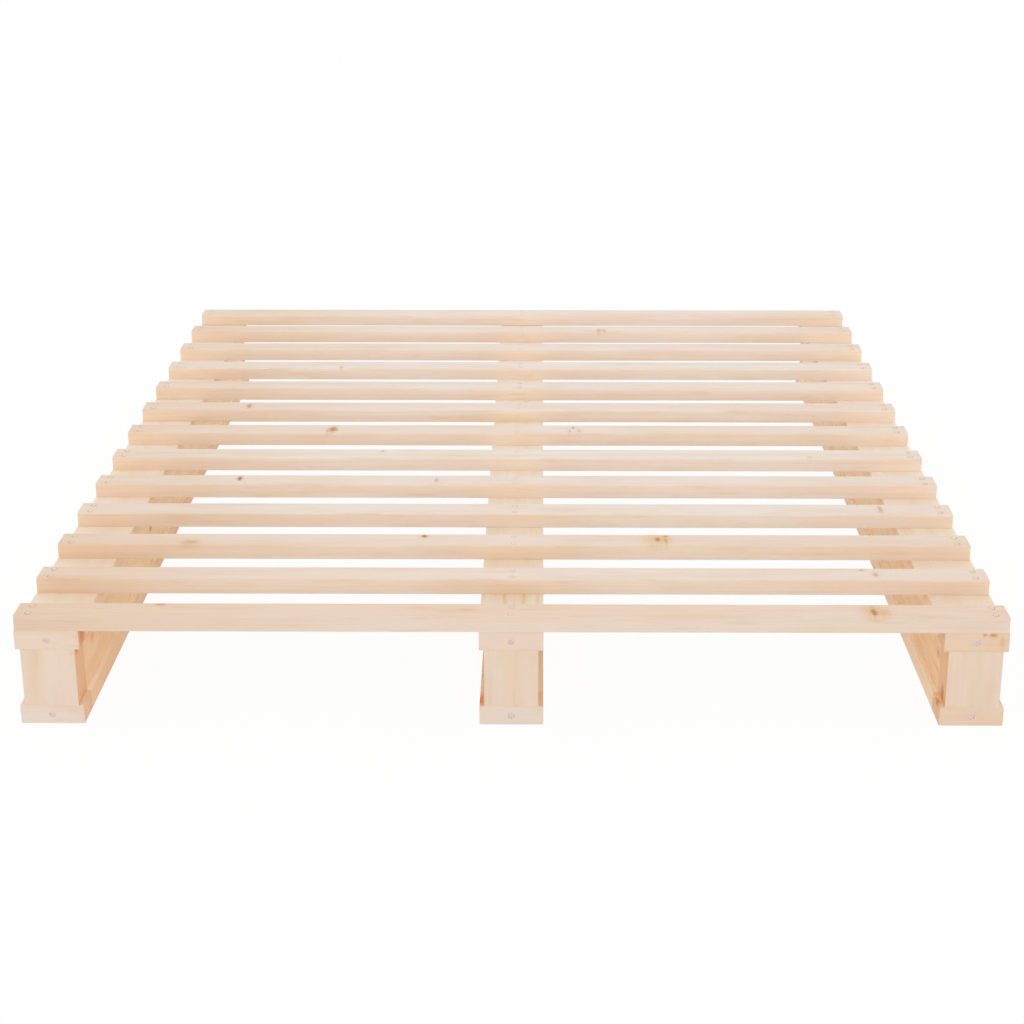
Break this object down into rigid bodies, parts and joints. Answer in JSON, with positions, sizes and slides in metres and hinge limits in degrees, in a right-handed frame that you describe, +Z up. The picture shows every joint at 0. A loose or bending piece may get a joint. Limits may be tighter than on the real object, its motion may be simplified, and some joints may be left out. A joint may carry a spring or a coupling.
{
  "type": "slatted bed frame",
  "caption": "Low pallet-style bed frame in bare pine: cross slats screwed onto lengthwise I-section rails with bolted end frames.",
  "frame": {"origin": "on the floor under the middle of the frame", "axes": "+Z up, +Y from the foot end to the head end along the rails, +X along the slats"},
  "size_m": [2, 2, 0.2433],
  "materials": {
    "pine_slat": "planed, unfinished pine, pale",
    "pine_rail": "planed, unfinished pine, warmer in tone",
    "pine_end": "planed, unfinished pine",
    "zinc_steel": "zinc plated, satin"
  },
  "bodies": {
    "root": {"slat_01": "pine_slat", "slat_02": "pine_slat", "slat_03": "pine_slat", "slat_04": "pine_slat", "slat_05": "pine_slat", "slat_06": "pine_slat", "slat_07": "pine_slat", "slat_08": "pine_slat", "slat_09": "pine_slat", "slat_10": "pine_slat", "slat_11": "pine_slat", "slat_12": "pine_slat", "slat_13": "pine_slat", "left_rail_top_board": "pine_rail", "left_rail_bottom_board": "pine_rail", "left_rail_left_side_board": "pine_rail", "left_rail_right_side_board": "pine_rail", "centre_rail_top_board": "pine_rail", "centre_rail_bottom_board": "pine_rail", "centre_rail_left_side_board": "pine_rail", "centre_rail_right_side_board": "pine_rail", "right_rail_top_board": "pine_rail", "right_rail_bottom_board": "pine_rail", "right_rail_left_side_board": "pine_rail", "right_rail_right_side_board": "pine_rail", "left_rail_foot_post": "pine_end", "left_rail_foot_top_block": "pine_end", "left_rail_foot_bottom_block": "pine_end", "left_rail_head_post": "pine_end", "left_rail_head_top_block": "pine_end", "left_rail_head_bottom_block": "pine_end", "centre_rail_foot_post": "pine_end", "centre_rail_foot_top_block": "pine_end", "centre_rail_foot_bottom_block": "pine_end", "centre_rail_head_post": "pine_end", "centre_rail_head_top_block": "pine_end", "centre_rail_head_bottom_block": "pine_end", "right_rail_foot_post": "pine_end", "right_rail_foot_top_block": "pine_end", "right_rail_foot_bottom_block": "pine_end", "right_rail_head_post": "pine_end", "right_rail_head_top_block": "pine_end", "right_rail_head_bottom_block": "pine_end", "left_rail_foot_top_bolt": "zinc_steel", "left_rail_foot_bottom_bolt": "zinc_steel", "left_rail_head_top_bolt": "zinc_steel", "left_rail_head_bottom_bolt": "zinc_steel", "centre_rail_foot_top_bolt": "zinc_steel", "centre_rail_foot_bottom_bolt": "zinc_steel", "centre_rail_head_top_bolt": "zinc_steel", "centre_rail_head_bottom_bolt": "zinc_steel", "right_rail_foot_top_bolt": "zinc_steel", "right_rail_foot_bottom_bolt": "zinc_steel", "right_rail_head_top_bolt": "zinc_steel", "right_rail_head_bottom_bolt": "zinc_steel"}
  },
  "joints": []
}
